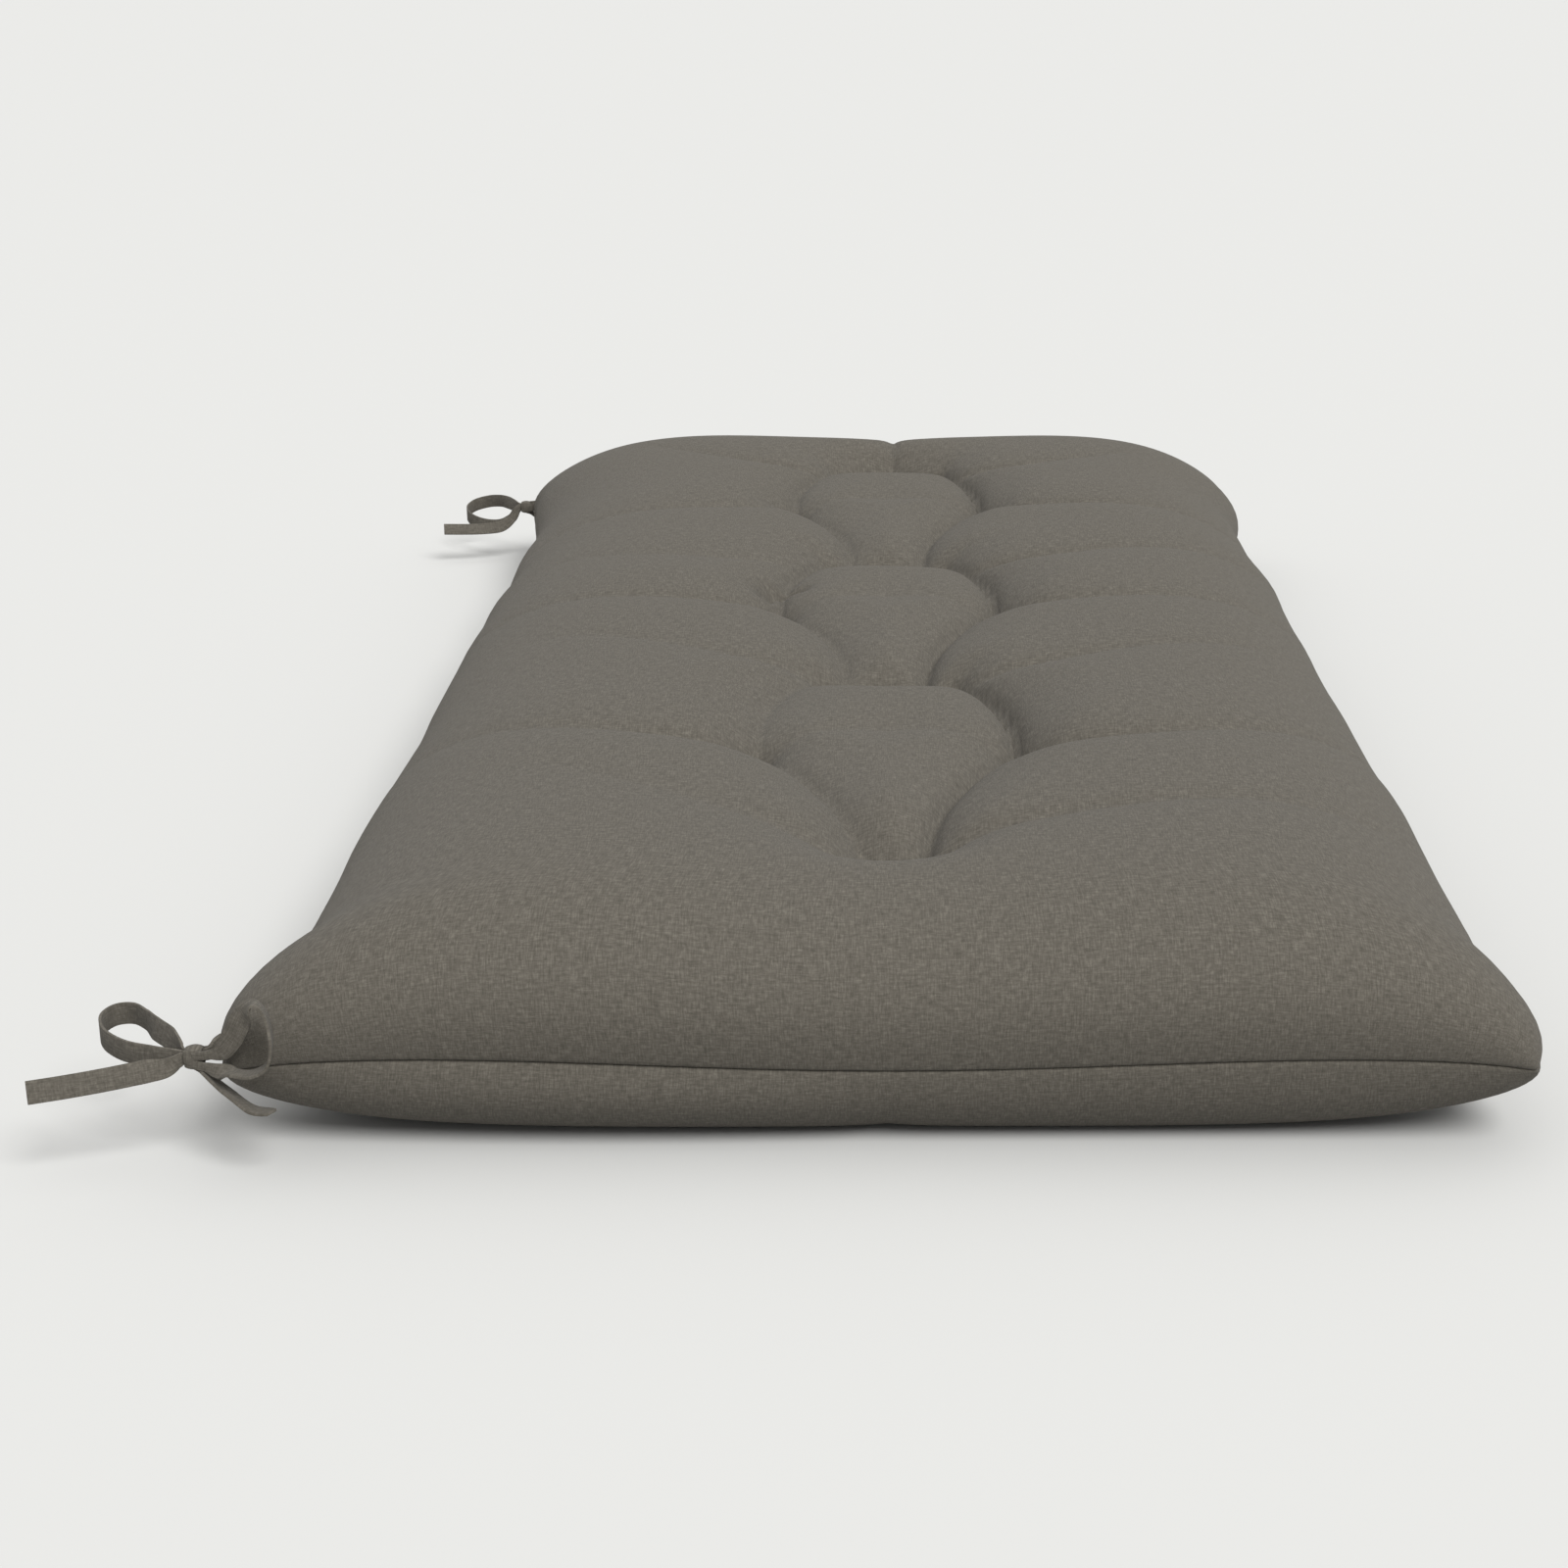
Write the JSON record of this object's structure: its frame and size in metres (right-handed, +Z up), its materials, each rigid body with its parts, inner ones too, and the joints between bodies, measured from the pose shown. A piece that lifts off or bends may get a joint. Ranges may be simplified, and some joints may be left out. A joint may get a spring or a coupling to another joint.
{
  "type": "bench cushion",
  "caption": "Tufted bench cushion in taupe linen-look cloth, with pulled-in blind tufts, soft radiating folds and tie straps knotted in bows at the left corners",
  "frame": {"origin": "middle of the flat underside of the cushion, where it lies on its surface", "axes": "+Z up out of the tufted top, +Y along the length towards the far end, +X across the width, with the tied straps at -X"},
  "size_m": [0.5794, 1.0641, 0.1067],
  "materials": {
    "cushion_cloth": "matt melange plain weave",
    "near_loop_strap_cloth": "matt melange plain weave",
    "near_wrap_strap_cloth": "matt melange plain weave",
    "far_loop_strap_cloth": "matt melange plain weave",
    "far_wrap_strap_cloth": "matt melange plain weave"
  },
  "bodies": {
    "root": {"cushion": "cushion_cloth", "near_loop_strap": "near_loop_strap_cloth", "near_wrap_strap": "near_wrap_strap_cloth", "far_loop_strap": "far_loop_strap_cloth", "far_wrap_strap": "far_wrap_strap_cloth"}
  },
  "joints": []
}
